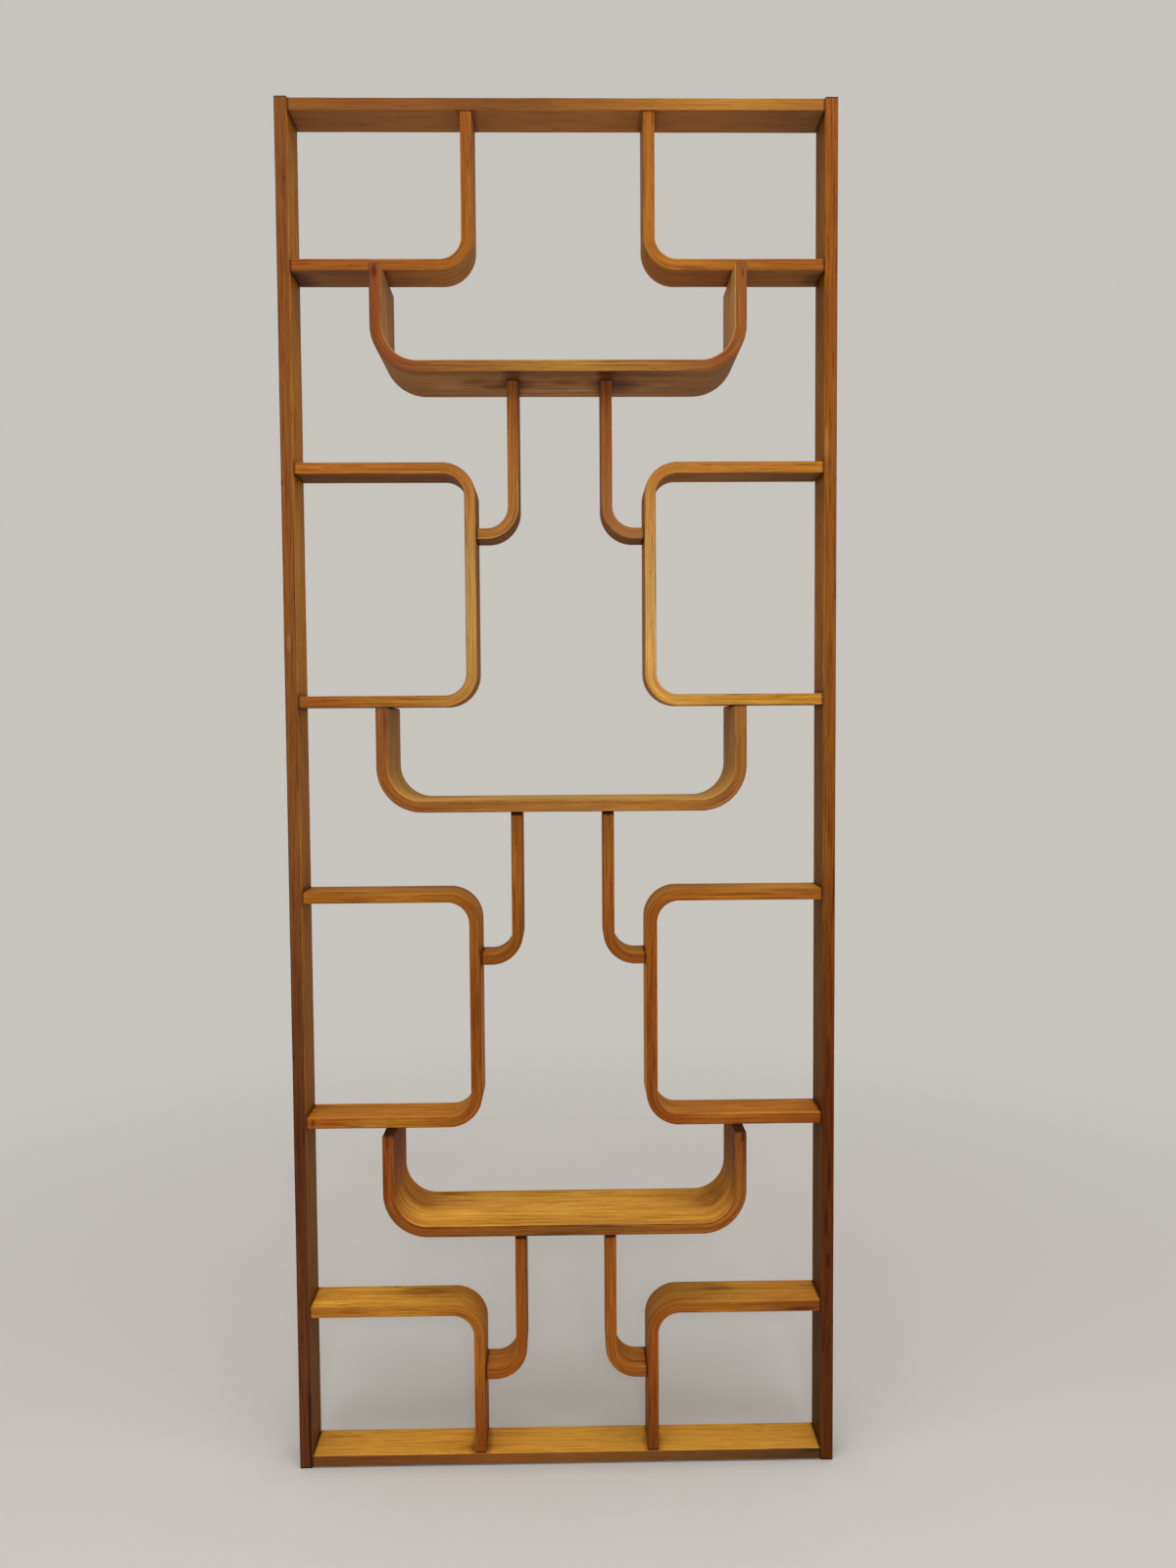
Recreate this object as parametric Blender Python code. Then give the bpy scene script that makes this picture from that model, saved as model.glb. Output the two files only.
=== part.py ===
"""Free-standing room divider of bent laminated wood strips.

Two tall stiles carry everything. A top and a bottom rail tie them together.
Between them, on each side, an L bracket hangs from the top rail, two square
loops stand out from the stile, and an upside-down L stands on the bottom rail.
Three wide, deeper trays hang from the undersides of those strips, and from
each tray two small hooks drop to the inner sides of the loops below. Every
joint is a glued butt joint with a hidden dowel.

Units are metres. X runs along the width, Y through the depth and Z upwards.
The origin is on the floor, under the middle of the divider.
"""

import math

import bmesh
import bpy
from mathutils import Matrix, Vector

# Overall sizes
overall_width = 0.870
stile_height = 2.174
frame_depth = 0.070
stile_thickness = 0.020
strip_thickness = 0.018

# Rails stop this far short of the stile ends
rail_set_in = 0.003

# Brackets and loops, outside. The levels are spaced evenly between the brackets.
top_bracket_height = 0.2425
bottom_bracket_height = 0.2475
loop_height = 0.3815
column_gap = 0.264
frame_bend_radius = 0.035

# Trays
tray_width = 0.576
tray_height = 0.1645
tray_depth = 0.140
tray_bend_radius = 0.053

# How far each pair of hooks reaches below the top of the strip that it meets
hook_reaches = (0.1195, 0.1195, 0.1265)
hook_depth = 0.062
hook_gap = 0.128
hook_bend_radius = 0.034

# Dowels and their holes
dowel_radius = 0.004
dowel_length = 0.035
dowel_chamfer = 0.0008
seat_in_stile = 0.012
seat_in_strip = 0.010
hole_clearance = 0.0003

# Glue line between two faces that meet
joint_gap = 0.0003

# Number of straight steps in a quarter bend and in a full circle
bend_steps = 12
dowel_sides = 12

# Linear colours, roughness and metallic value
frame_finish = ((0.300, 0.098, 0.020, 1.0), 0.38, 0.0)
loop_finish = ((0.345, 0.125, 0.022, 1.0), 0.34, 0.0)
tray_finish = ((0.330, 0.135, 0.034, 1.0), 0.36, 0.0)
hook_finish = ((0.270, 0.100, 0.026, 1.0), 0.40, 0.0)
dowel_finish = ((0.560, 0.380, 0.190, 1.0), 0.70, 0.0)

# Places worked out from the sizes above
stile_face = overall_width / 2 - stile_thickness
half_strip = strip_thickness / 2
top_rail_underside = stile_height - rail_set_in - strip_thickness
bottom_rail_top = rail_set_in + strip_thickness
column_face = column_gap / 2
column_middle = column_face + half_strip
top_shelf_underside = top_rail_underside - top_bracket_height
bottom_bracket_top = bottom_rail_top + bottom_bracket_height
level_pitch = (top_shelf_underside - bottom_bracket_top + loop_height) / len(hook_reaches)
shelf_undersides = [top_shelf_underside - level * level_pitch for level in range(len(hook_reaches) + 1)]
loop_tops = [underside + loop_height for underside in shelf_undersides]
tray_undersides = [underside - tray_height for underside in shelf_undersides[:-1]]
hook_undersides = [top - reach for top, reach in zip(loop_tops[1:], hook_reaches)]

level_names = ("upper", "middle", "lower")
sides = (("left", -1), ("right", 1))


def clear_scene():
    """Takes away whatever the scene held before."""
    for leftover in list(bpy.data.objects):
        bpy.data.objects.remove(leftover, do_unlink=True)


def make_material(name, finish):
    """Makes a varnished or bare wood from a colour, a roughness and a metallic value."""
    colour, roughness, metallic = finish
    material = bpy.data.materials.new(name)
    material.use_nodes = True
    shader = material.node_tree.nodes["Principled BSDF"]
    shader.inputs["Base Color"].default_value = colour
    shader.inputs["Roughness"].default_value = roughness
    shader.inputs["Metallic"].default_value = metallic
    material.diffuse_color = colour
    return material


def add_object(name, mesh, finish):
    """Puts a mesh into the scene as one named piece with a material of its own."""
    mesh.materials.append(make_material(name + "_finish", finish))
    piece = bpy.data.objects.new(name, mesh)
    bpy.context.collection.objects.link(piece)
    return piece


def make_board(name, size, centre, finish):
    """Makes a straight board from its size along X, Y and Z."""
    shape = bmesh.new()
    bmesh.ops.create_cube(shape, size=1.0)
    bmesh.ops.scale(shape, vec=Vector(size), verts=shape.verts)
    mesh = bpy.data.meshes.new(name)
    shape.to_mesh(mesh)
    shape.free()
    board = add_object(name, mesh, finish)
    board.location = centre
    return board


def rounded_path(corners, radius):
    """Follows straight runs through the corners and rounds each inner corner with an arc.

    Corners are (x, z) places on the strip's middle line. The result is a list of
    points, each with the direction square to the path there.
    """
    places = [Vector(corner) for corner in corners]
    first = (places[1] - places[0]).normalized()
    path = [(places[0], first.orthogonal())]
    for before, corner, after in zip(places, places[1:], places[2:]):
        arriving = (corner - before).normalized()
        leaving = (after - corner).normalized()
        centre = corner + (leaving - arriving) * radius
        turn = math.copysign(1.0, arriving.cross(leaving))
        for step in range(bend_steps + 1):
            angle = math.pi / 2 * step / bend_steps
            outward = arriving * math.sin(angle) - leaving * math.cos(angle)
            path.append((centre + outward * radius, outward * -turn))
    last = (places[-1] - places[-2]).normalized()
    path.append((places[-1], last.orthogonal()))
    return path


def make_strip(name, corners, bend_radius, depth, finish):
    """Makes a bent strip: a flat band of one thickness that follows the corners."""
    path = rounded_path(corners, bend_radius + half_strip)
    one_face = [place + square * half_strip for place, square in path]
    other_face = [place - square * half_strip for place, square in path]
    outline = one_face + other_face[::-1]
    shape = bmesh.new()
    front = [shape.verts.new((point.x, -depth / 2, point.y)) for point in outline]
    shape.faces.new(front)
    grown = bmesh.ops.extrude_face_region(shape, geom=shape.faces[:])
    back = [item for item in grown["geom"] if isinstance(item, bmesh.types.BMVert)]
    bmesh.ops.translate(shape, vec=Vector((0, depth, 0)), verts=back)
    bmesh.ops.recalc_face_normals(shape, faces=shape.faces[:])
    mesh = bpy.data.meshes.new(name)
    shape.to_mesh(mesh)
    shape.free()
    strip = add_object(name, mesh, finish)
    mesh.shade_smooth()
    mesh.set_sharp_from_angle(angle=math.radians(30))
    return strip


def mirrored(corners, side):
    """Puts corners drawn for the right-hand side onto the given side."""
    return [(side * x, z) for x, z in corners]


def make_frame():
    """Makes the two stiles and the two rails between them."""
    pieces = {}
    for side_name, side in sides:
        name = side_name + "_stile"
        place = (side * (overall_width - stile_thickness) / 2, 0, stile_height / 2)
        size = (stile_thickness, frame_depth, stile_height)
        pieces[name] = make_board(name, size, place, frame_finish)
    rail_size = (2 * (stile_face - joint_gap), frame_depth, strip_thickness)
    top_place = (0, 0, top_rail_underside + half_strip)
    bottom_place = (0, 0, rail_set_in + half_strip)
    pieces["top_rail"] = make_board("top_rail", rail_size, top_place, frame_finish)
    pieces["bottom_rail"] = make_board("bottom_rail", rail_size, bottom_place, frame_finish)
    return pieces


def make_loops():
    """Makes the L brackets, the square loops and the upside-down L brackets."""
    pieces = {}
    stile_end = stile_face - joint_gap
    for side_name, side in sides:
        shelf = shelf_undersides[0] + half_strip
        corners = [(column_middle, top_rail_underside - joint_gap), (column_middle, shelf), (stile_end, shelf)]
        name = "top_bracket_" + side_name
        pieces[name] = make_strip(name, mirrored(corners, side), frame_bend_radius, frame_depth, loop_finish)

        for level, level_name in ((1, "upper"), (2, "lower")):
            top = loop_tops[level] - half_strip
            shelf = shelf_undersides[level] + half_strip
            corners = [(stile_end, top), (column_middle, top), (column_middle, shelf), (stile_end, shelf)]
            name = level_name + "_loop_" + side_name
            pieces[name] = make_strip(name, mirrored(corners, side), frame_bend_radius, frame_depth, loop_finish)

        top = bottom_bracket_top - half_strip
        corners = [(stile_end, top), (column_middle, top), (column_middle, bottom_rail_top + joint_gap)]
        name = "bottom_bracket_" + side_name
        pieces[name] = make_strip(name, mirrored(corners, side), frame_bend_radius, frame_depth, loop_finish)
    return pieces


def make_trays():
    """Makes the three trays, each hung by its two arm ends from the strips above."""
    pieces = {}
    arm = tray_width / 2 - half_strip
    for level, level_name in enumerate(level_names):
        hung_from = shelf_undersides[level] - joint_gap
        floor = tray_undersides[level] + half_strip
        corners = [(-arm, hung_from), (-arm, floor), (arm, floor), (arm, hung_from)]
        name = level_name + "_tray"
        pieces[name] = make_strip(name, corners, tray_bend_radius, tray_depth, tray_finish)
    return pieces


def make_hooks():
    """Makes the six hooks that drop from the trays and bend outwards to the loops."""
    pieces = {}
    hanger = hook_gap / 2 + half_strip
    for level, level_name in enumerate(level_names):
        top = tray_undersides[level] - joint_gap
        foot = hook_undersides[level] + half_strip
        corners = [(hanger, top), (hanger, foot), (column_face - joint_gap, foot)]
        for side_name, side in sides:
            name = level_name + "_hook_" + side_name
            pieces[name] = make_strip(name, mirrored(corners, side), hook_bend_radius, hook_depth, hook_finish)
    return pieces


def make_peg(name, radius, length, chamfer, finish):
    """Makes a round peg along its own Z axis, with chamfered ends where asked."""
    shape = bmesh.new()
    bmesh.ops.create_cone(
        shape,
        cap_ends=True,
        segments=dowel_sides,
        radius1=radius,
        radius2=radius,
        depth=length,
    )
    if chamfer > 0:
        rims = [edge for edge in shape.edges if abs(edge.verts[0].co.z - edge.verts[1].co.z) < chamfer]
        bmesh.ops.bevel(shape, geom=rims, offset=chamfer, segments=1, affect="EDGES")
    mesh = bpy.data.meshes.new(name)
    shape.to_mesh(mesh)
    shape.free()
    peg = add_object(name, mesh, finish)
    mesh.shade_smooth()
    mesh.set_sharp_from_angle(angle=math.radians(40))
    return peg


def cut_hole(piece, cutter):
    """Cuts a blind dowel hole into a piece."""
    modifier = piece.modifiers.new(cutter.name, "BOOLEAN")
    modifier.operation = "DIFFERENCE"
    modifier.solver = "EXACT"
    modifier.object = cutter


def join_with_dowel(name, seat_piece, seat, end_piece, place, direction):
    """Joins the end of one piece to the face of another with a hidden dowel.

    The place is on the seat piece's face, and the direction points out of that
    face into the end piece. The seat is how far the dowel goes into the face.
    """
    outward = Vector(direction)
    middle = Vector(place) + outward * (dowel_length / 2 - seat)
    turn = outward.to_track_quat("Z", "Y").to_matrix().to_4x4()
    stance = Matrix.Translation(middle) @ turn
    dowel = make_peg(name, dowel_radius, dowel_length, dowel_chamfer, dowel_finish)
    dowel.matrix_world = stance
    cutter = make_peg(
        "hole_for_" + name,
        dowel_radius + hole_clearance,
        dowel_length + 2 * hole_clearance,
        0,
        dowel_finish,
    )
    cutter.matrix_world = stance
    cutter.hide_render = True
    cutter.display_type = "WIRE"
    cut_hole(seat_piece, cutter)
    cut_hole(end_piece, cutter)


def join_to_stile(pieces, piece_name, where, side_name, side, height):
    """Joins a strip's or a rail's end to the inner face of a stile."""
    stile = pieces[side_name + "_stile"]
    name = "dowel_" + where + "_" + side_name
    place = (side * stile_face, 0, height)
    join_with_dowel(name, stile, seat_in_stile, pieces[piece_name], place, (-side, 0, 0))


def join_pieces(pieces):
    """Puts a dowel into every joint of the divider."""
    hanger = hook_gap / 2 + half_strip
    arm = tray_width / 2 - half_strip
    for side_name, side in sides:
        top_rail_middle = top_rail_underside + half_strip
        bottom_rail_middle = rail_set_in + half_strip
        join_to_stile(pieces, "top_rail", "top_rail", side_name, side, top_rail_middle)
        join_to_stile(pieces, "bottom_rail", "bottom_rail", side_name, side, bottom_rail_middle)

        bracket = "top_bracket_" + side_name
        shelf = shelf_undersides[0] + half_strip
        join_to_stile(pieces, bracket, "top_bracket_stile", side_name, side, shelf)
        name = "dowel_top_bracket_rail_" + side_name
        place = (side * column_middle, 0, top_rail_underside)
        join_with_dowel(name, pieces["top_rail"], seat_in_strip, pieces[bracket], place, (0, 0, -1))

        for level, level_name in ((1, "upper"), (2, "lower")):
            loop = level_name + "_loop_" + side_name
            top = loop_tops[level] - half_strip
            shelf = shelf_undersides[level] + half_strip
            join_to_stile(pieces, loop, level_name + "_loop_top", side_name, side, top)
            join_to_stile(pieces, loop, level_name + "_loop_bottom", side_name, side, shelf)

        bracket = "bottom_bracket_" + side_name
        top = bottom_bracket_top - half_strip
        join_to_stile(pieces, bracket, "bottom_bracket_stile", side_name, side, top)
        name = "dowel_bottom_bracket_rail_" + side_name
        place = (side * column_middle, 0, bottom_rail_top)
        join_with_dowel(name, pieces["bottom_rail"], seat_in_strip, pieces[bracket], place, (0, 0, 1))

        hung_from = ("top_bracket_", "upper_loop_", "lower_loop_")
        hooked_to = ("upper_loop_", "lower_loop_", "bottom_bracket_")
        for level, level_name in enumerate(level_names):
            tray = pieces[level_name + "_tray"]
            hook = pieces[level_name + "_hook_" + side_name]
            carrier = pieces[hung_from[level] + side_name]
            holder = pieces[hooked_to[level] + side_name]

            name = "dowel_" + level_name + "_tray_" + side_name
            place = (side * arm, 0, shelf_undersides[level])
            join_with_dowel(name, carrier, seat_in_strip, tray, place, (0, 0, -1))

            name = "dowel_" + level_name + "_hook_tray_" + side_name
            place = (side * hanger, 0, tray_undersides[level])
            join_with_dowel(name, tray, seat_in_strip, hook, place, (0, 0, -1))

            name = "dowel_" + level_name + "_hook_loop_" + side_name
            place = (side * column_face, 0, hook_undersides[level] + half_strip)
            join_with_dowel(name, holder, seat_in_strip, hook, place, (-side, 0, 0))


def main():
    """Builds the divider."""
    clear_scene()
    pieces = make_frame()
    pieces.update(make_loops())
    pieces.update(make_trays())
    pieces.update(make_hooks())
    join_pieces(pieces)


main()
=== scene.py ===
"""Looks of the room divider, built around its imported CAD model.

Each wooden strip of the CAD model is shown by a finer strip with the same
middle line, thickness and depth. Its bends are smoother, its arrises are eased
and its ends are slightly rounded. Every strip carries its own grain places:
how far a point lies along the strip, across its thickness and through its
depth. The varnished wood reads them, so that grain and veneers follow the
bends. The dowels stay as they are and get a bare wood.

Units are metres, in the frame of the CAD model.
"""

import math
from collections import namedtuple

import bpy
from mathutils import Matrix, Vector


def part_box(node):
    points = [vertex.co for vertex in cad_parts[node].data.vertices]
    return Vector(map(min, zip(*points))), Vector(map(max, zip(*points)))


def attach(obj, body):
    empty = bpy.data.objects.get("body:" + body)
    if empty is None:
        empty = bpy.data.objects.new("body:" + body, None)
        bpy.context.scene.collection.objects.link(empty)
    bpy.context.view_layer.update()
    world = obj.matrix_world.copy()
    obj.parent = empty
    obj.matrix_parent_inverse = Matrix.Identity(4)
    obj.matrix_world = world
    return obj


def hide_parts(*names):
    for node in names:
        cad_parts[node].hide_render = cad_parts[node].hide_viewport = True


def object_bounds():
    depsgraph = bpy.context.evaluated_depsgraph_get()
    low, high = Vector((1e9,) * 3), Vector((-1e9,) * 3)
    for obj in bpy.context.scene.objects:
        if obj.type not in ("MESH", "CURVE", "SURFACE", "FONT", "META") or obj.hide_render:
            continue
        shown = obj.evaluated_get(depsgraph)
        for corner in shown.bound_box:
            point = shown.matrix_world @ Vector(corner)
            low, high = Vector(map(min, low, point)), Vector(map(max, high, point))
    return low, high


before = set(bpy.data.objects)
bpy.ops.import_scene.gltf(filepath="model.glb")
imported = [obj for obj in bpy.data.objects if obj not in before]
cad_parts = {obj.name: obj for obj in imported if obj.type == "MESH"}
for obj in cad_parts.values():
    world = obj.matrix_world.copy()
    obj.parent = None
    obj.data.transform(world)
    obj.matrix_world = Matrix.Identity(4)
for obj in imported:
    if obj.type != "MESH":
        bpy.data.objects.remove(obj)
cad_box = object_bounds()

# Strips, as in the CAD model
strip_thickness = 0.018
stile_thickness = 0.020
frame_bend_radius = 0.035
tray_bend_radius = 0.053
hook_bend_radius = 0.034

# Eased arrises, worn unevenly in waves: each wave's pace along the strip and from strip to strip, and its
# height. The four arrises of a strip are as far apart in their waves as this many strips.
arris_radius = 0.0013
arris_steps = 3
arris_unevenness = 0.35
arris_waves = ((31.0, 1.7, 1.0), (73.0, 2.9, 1.0), (157.0, 4.1, 0.7))
arris_shift = 5.3

# Eased ends
joint_easing = 0.0007
stile_easing = 0.0014
arm_easing = 0.0032
easing_steps = 4

# Steps in a quarter bend, and the longest straight step
bend_steps = 28
longest_step = 0.045

# Veneers of the bent strips, and one thick layer in the sawn boards
veneer_thickness = 0.0030
one_layer = 1.0

# How near another strip's end must lie to a strip's surface to touch it
contact_reach = 0.0025

# Camera
focal_pixels = 1184.35
image_height = 1600
sensor_size = 36.0
clip_range = (0.05, 200.0)
camera_place = (0.0112, -1.8735, 1.2053)
camera_pitch = 0.05034
camera_yaw = 0.01615
camera_roll = -0.00652

# Surroundings: the floor turns into the background between two distances
floor_radius = 40.0
floor_sides = 96
floor_colour = (0.605, 0.595, 0.572)
floor_finish = {"Roughness": 0.9, "Specular IOR Level": 0.1}
background_colour = (0.575, 0.548, 0.512)
floor_ends = (0.5, 2.8)

# Lamps: place, the point they face, width and height, and power
lamps = {
    "front_lamp": ((0.10, -2.60, 1.64), (0.0, 0.0, 1.05), (0.5, 0.2), 20.0),
    "overhead_lamp": ((0.0, -1.0, 3.9), (0.0, 0.0, 0.0), (2.4, 2.2), 62.0),
}

# Linear colours of the light grain and of the pale dust and painted sheen on it, and how much darker the
# dark grain is
red_wood = (0.330, 0.086, 0.0065)
golden_wood = (0.410, 0.196, 0.0192)
dust_and_sheen_colour = (0.36, 0.33, 0.30)
dark_grain = (0.51, 0.35, 0.32)

# The looks of the wood. Where a name below has two values and its comment says no more, a feature
# fades in or out between them. Noise scales are lumps per metre, or per layer where they say so.

# How far apart the pieces are cut out of the wood
cut_spacing = 2.37

# Glue lines between veneers: their ripple, its scales along the strip and through its depth, the noise
# that breaks them off, its scales along and per layer, and their reach as shares of a layer
glue_ripple = 0.0009
glue_ripple_scales = (9.0, 40.0)
glue_break_scales = (17.0, 3.1)
glue_shown = (0.35, 0.60)
glue_reach = (0.02, 0.13)

# Growth rings: their spacing, how far their centre lies from the strip, strays across and through it from
# layer to layer and drifts along it, their wobble, and where the late wood of each starts and ends
ring_spacing = 0.0026
pith_offset = -0.05
pith_stray = (0.03, 0.06)
pith_seeds = (11.0, 23.0)
pith_drift = 0.05
drift_scales = (1.4, 7.3)
ring_wobble = 0.004
wobble_scales = (5.0, 70.0, 70.0)
late_wood_starts = (0.30, 0.90)
late_wood_ends = (0.93, 1.0)

# Detail and roughness of the noise of scuffs, varnish and dowels
rough_noise = (3.0, 0.6)

# Noise stretched along the grain: scale along it and across it, detail, roughness and shift per layer
stretched_noise = {
    "streak": (8.0, 400.0, 3.0, 0.6, 5.7),
    "band": (2.4, 110.0, 1.0, 0.5, 4.9),
    "dash": (11.0, 480.0, 2.0, 0.5, 7.7),
    "fibre": (40.0, 1500.0, 2.0, 0.6, 3.9),
    "pore": (38.0, 1150.0, 1.0, 0.4, 9.1),
    "open_grain": (5.0, 60.0, 2.0, 0.5, 2.3),
    "blotch": (1.8, 13.0, 2.0, 0.5, 0.0),
    "cloud": (6.5, 34.0, 3.0, 0.55, 1.3),
}

# Which of that noise shows as dashes and as pores, and how open grain lowers the limit for pores
dash_shown = (0.57, 0.64)
pore_shown = (0.0, 0.07)
open_grain_range = (0.35, 0.65)
pore_limits = (0.70, 0.62)

# Where a broad side turns into an edge, the outer side into the inner one or the front into the back,
# and how far an arris reaches
edge_turn = (0.0002, 0.0012)
middle_turn = (-0.001, 0.001)
arris_reach = (0.0003, 0.0016)

# Back edges are drawn towards a usual tone and gold
back_evenness = 0.6
usual_tone = 0.95
usual_gold = 0.35

# How light the grain is, and how much the figures change that. Streaks, bands and dashes are also
# multiplied by the liveliness of the kind of strip.
grain_lightness = 0.66
streak_contrast = 1.5
band_contrast = 0.5
fibre_contrast = 0.8
late_wood_darkening = 0.12
dash_darkening = 0.75

# How much blotches, streaks, and the dirt and painted shade round other strips' ends change the gold of the
# wood
blotch_gold = 0.35
streak_gold = 0.3
dirt_and_shade_redness = 1.6

# Dirt and painted shade round the ends of other strips: their reach, their ragged border and how much they
# darken
dirt_and_shade_reach = (0.009, 0.019)
dirt_and_shade_raggedness = 0.016
dirt_and_shade_darkening = 0.28

# Marks: their ragged border, and where they fade as shares of their size
mark_raggedness = 1.2
mark_fade = (0.25, 1.0)

# Darkening of single features, the reach of the grime near a strip's ends, and where its end grain shows
veneer_contrast = 0.20
glue_darkening = 0.45
pore_darkening = 0.45
grime_reach = (0.0014, 0.0042)
grime_darkening = 0.68
end_grain_shown = (0.5, 1.0)
end_grain_tone = 0.55

# Clouds: the contrast that all wood has, and what liveliness adds
cloud_contrast = 0.12
lively_cloud_contrast = 0.28

# Arrises: the noise that breaks up the paler inner ones, how much paler these are, rubbed and with a painted
# highlight, and how much darker the outer ones are, with dirt and painted shade
scuff_and_highlight_scale = 16.0
scuff_and_highlight_shown = (0.42, 0.62)
inner_arris_wear_and_highlight = 0.32
outer_arris_dirt_and_shade = -0.34

# What is darker is redder: the powers by which its green and blue fall. What is paler gets more pale dust
# and painted sheen.
green_power = 1.25
blue_power = 1.5
pale_dust_and_sheen = 0.18

# Varnish: its roughness, what changes that, and how its two mirror layers fade at a slant
varnish_roughness = 0.45
blotch_roughness = 0.16
pore_roughness = 0.20
end_grain_roughness = 0.22
worn_roughness = 0.12
base_slants, base_levels = (0.2, 0.75), (0.35, 0.045)
coat_slants, coat_weights = (0.1, 0.5), (0.11, 0.0)
varnish = {
    "Coat Roughness": 0.27,
    "Coat IOR": 1.5,
    "IOR": 1.27,
    "Specular Tint": (1.0, 0.72, 0.32, 1.0),
    "Anisotropic": 0.5,
    "Anisotropic Rotation": 0.25,
}

# Relief of the wood: its strength and heights
relief_strength = 0.6
pore_height = -0.00007
fibre_height = 0.00003
late_wood_height = 0.000018

# Relief of the varnish: its height and its noise
brush_height = 0.00022
brush_scales = (220.0, 420.0, 420.0)

# Bare wood of the dowels: dark and light colour, noise of the fibres, roughness and relief
dowel_colours = ((0.420, 0.260, 0.120), (0.600, 0.410, 0.210))
dowel_scales = (500.0, 1500.0, 500.0)
dowel_light = (0.25, 0.75)
dowel_roughness = 0.66
dowel_roughness_contrast = 0.2
dowel_relief_strength = 0.5
dowel_fibre_height = 0.00005


def full(colour):
    """Adds the fourth value that a colour socket asks for."""
    return (*colour, 1.0)


def make_camera():
    """Looks at the divider from where the photograph was taken."""
    data = bpy.data.cameras.new("camera")
    data.sensor_width = sensor_size
    data.lens = focal_pixels * sensor_size / image_height
    data.clip_start, data.clip_end = clip_range
    camera = bpy.data.objects.new("camera", data)
    bpy.context.scene.collection.objects.link(camera)
    turned = Matrix.Rotation(camera_yaw, 3, "Z")
    pitched = Matrix.Rotation(camera_pitch, 3, "X")
    rolled = Matrix.Rotation(camera_roll, 3, "Y")
    right, ahead, up = (Vector(row) for row in rolled @ pitched @ turned)
    stance = Matrix((right, up, -ahead)).transposed().to_4x4()
    camera.matrix_world = Matrix.Translation(camera_place) @ stance
    bpy.context.scene.camera = camera


def make_lamp(name, place, target, size, power):
    """Adds one soft rectangular lamp that faces a target."""
    data = bpy.data.lights.new(name, "AREA")
    data.shape = "RECTANGLE"
    data.size, data.size_y = size
    data.energy = power
    lamp = bpy.data.objects.new(name, data)
    bpy.context.scene.collection.objects.link(lamp)
    lamp.location = place
    facing = Vector(target) - Vector(place)
    lamp.rotation_euler = facing.to_track_quat("-Z", "Y").to_euler()


class Strip:
    """The size and seed of one strip, and the places, normals, faces and readings of its surface."""

    def __init__(self, half_thickness, half_depth, inner_side, seed):
        self.half_thickness = half_thickness
        self.half_depth = half_depth
        self.inner_side = inner_side
        self.seed = seed
        self.places, self.normals, self.faces = [], [], []
        self.triples = {"grain": [], "fibre": [], "tones": [], "golds": []}
        self.values = {"endness": [], "to_end": []}


def wander(seed, along):
    """A smooth irregular value between about -1 and 1 along a strip."""
    waves = [height * math.sin(along * pace + seed * shift) for pace, shift, height in arris_waves]
    return sum(waves) / sum(height for _, _, height in arris_waves)


def cross_section(strip, along, inset):
    """The rounded outline of a strip at one place: thickness, depth and outward direction."""
    outline = []
    corners = ((1, 1), (-1, 1), (-1, -1), (1, -1))
    for index, (side, end) in enumerate(corners):
        worn = 1 + arris_unevenness * wander(strip.seed + arris_shift * index, along)
        radius = arris_radius * worn
        thick = strip.half_thickness - inset - radius
        deep = strip.half_depth - inset - radius
        for step in range(arris_steps + 1):
            angle = math.pi / 2 * (index + step / arris_steps)
            square = (math.cos(angle), math.sin(angle))
            outline.append((side * thick + square[0] * radius, end * deep + square[1] * radius, square))
    return outline


def straight_knots(start, stop):
    """Steps along a straight run, each with its place and the direction ahead."""
    run = stop - start
    steps = max(1, math.ceil(run.length / longest_step))
    return [(start + run * step / steps, run.normalized()) for step in range(steps + 1)]


def bent_path(corners, bend_radius):
    """Follows straight runs and round bends in small steps.

    Gives the place, the direction ahead, the direction square to it and the
    distance along for every step. Corners are (x, z) on the middle line.
    """
    places = [Vector(corner) for corner in corners]
    knots = []
    start = places[0]
    for before, corner, after in zip(places, places[1:], places[2:]):
        arriving = (corner - before).normalized()
        leaving = (after - corner).normalized()
        knots += straight_knots(start, corner - arriving * bend_radius)
        centre = corner + (leaving - arriving) * bend_radius
        for step in range(1, bend_steps):
            angle = math.pi / 2 * step / bend_steps
            outward = arriving * math.sin(angle) - leaving * math.cos(angle)
            ahead = arriving * math.cos(angle) + leaving * math.sin(angle)
            knots.append((centre + outward * bend_radius, ahead))
        start = corner + leaving * bend_radius
    knots += straight_knots(start, places[-1])

    path = []
    along = 0.0
    for index, (place, ahead) in enumerate(knots):
        if index:
            along += (place - knots[index - 1][0]).length
        path.append((place, ahead, Vector((ahead.y, -ahead.x)), along))
    return path


def eased_rings(path, easing):
    """Adds rings that round both ends off. Each ring has an inset and a lean towards its end."""
    first, last = path[0], path[-1]
    length = last[3]
    opening, closing = [], []
    for step in range(easing_steps + 1):
        angle = math.pi / 2 * step / easing_steps
        back = easing * (1 - math.sin(angle))
        inset = easing * (1 - math.cos(angle))
        opening.insert(0, (first[0] + first[1] * back, first[1], first[2], back, inset, -angle))
        closing.append((last[0] - last[1] * back, last[1], last[2], length - back, inset, angle))
    middle = [(*knot, 0.0, 0.0) for knot in path if easing < knot[3] < length - easing]
    return opening + middle + closing


def between(values, part):
    """Reads a pair of values part of the way along a list of pairs, smoothly."""
    spot = min(max(part, 0.0), 1.0) * (len(values) - 1)
    low = min(int(spot), max(len(values) - 2, 0))
    high = min(low + 1, len(values) - 1)
    rest = spot - low
    return Vector(values[low]).lerp(Vector(values[high]), rest * rest * (3 - 2 * rest))


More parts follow.
